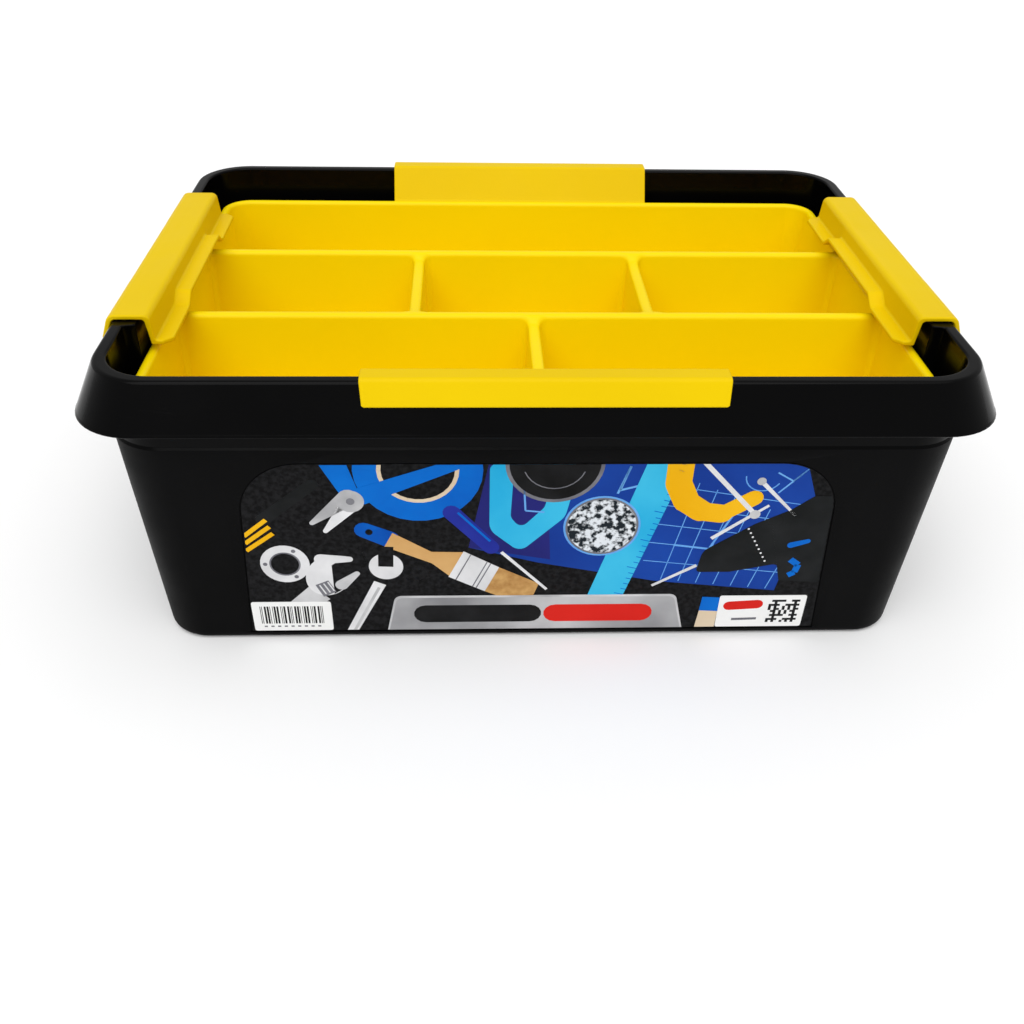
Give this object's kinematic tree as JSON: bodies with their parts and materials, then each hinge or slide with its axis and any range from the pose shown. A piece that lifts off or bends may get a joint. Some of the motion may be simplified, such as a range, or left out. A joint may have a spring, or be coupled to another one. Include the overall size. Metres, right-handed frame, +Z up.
{
  "type": "toolbox with tray",
  "caption": "Open rectangular toolbox with a flared rim, a lift-out compartment tray hung on the rims, side clips and a front label.",
  "frame": {"origin": "centre of the tub's underside", "axes": "+X to the right along the long side, +Y to the back, away from the labelled face, +Z up"},
  "size_m": [0.42, 0.308, 0.1579],
  "materials": {
    "tub_plastic": "gloss rim and inside, fine satin texture on the outside walls",
    "tray_plastic": "semi-gloss moulded",
    "clip_plastic": "semi-gloss moulded",
    "label_print": "coated print",
    "sticker_paper": "smooth"
  },
  "bodies": {
    "tub": {"tub": "tub_plastic", "label": "label_print", "barcode_sticker": "sticker_paper", "info_sticker": "sticker_paper"},
    "tray": {"tray": "tray_plastic"},
    "left_clip": {"left_clip": "clip_plastic"},
    "right_clip": {"right_clip": "clip_plastic"}
  },
  "joints": [
    {"name": "tray_lift", "type": "slide", "parent": "tub", "child": "tray", "axis": [0, 0, 1], "range_m": [0, 0.12]},
    {"name": "left_clip_lift", "type": "slide", "parent": "tray", "child": "left_clip", "axis": [0, 0, 1], "range_m": [0, 0.04]},
    {"name": "right_clip_lift", "type": "slide", "parent": "tray", "child": "right_clip", "axis": [0, 0, 1], "range_m": [0, 0.04]}
  ]
}
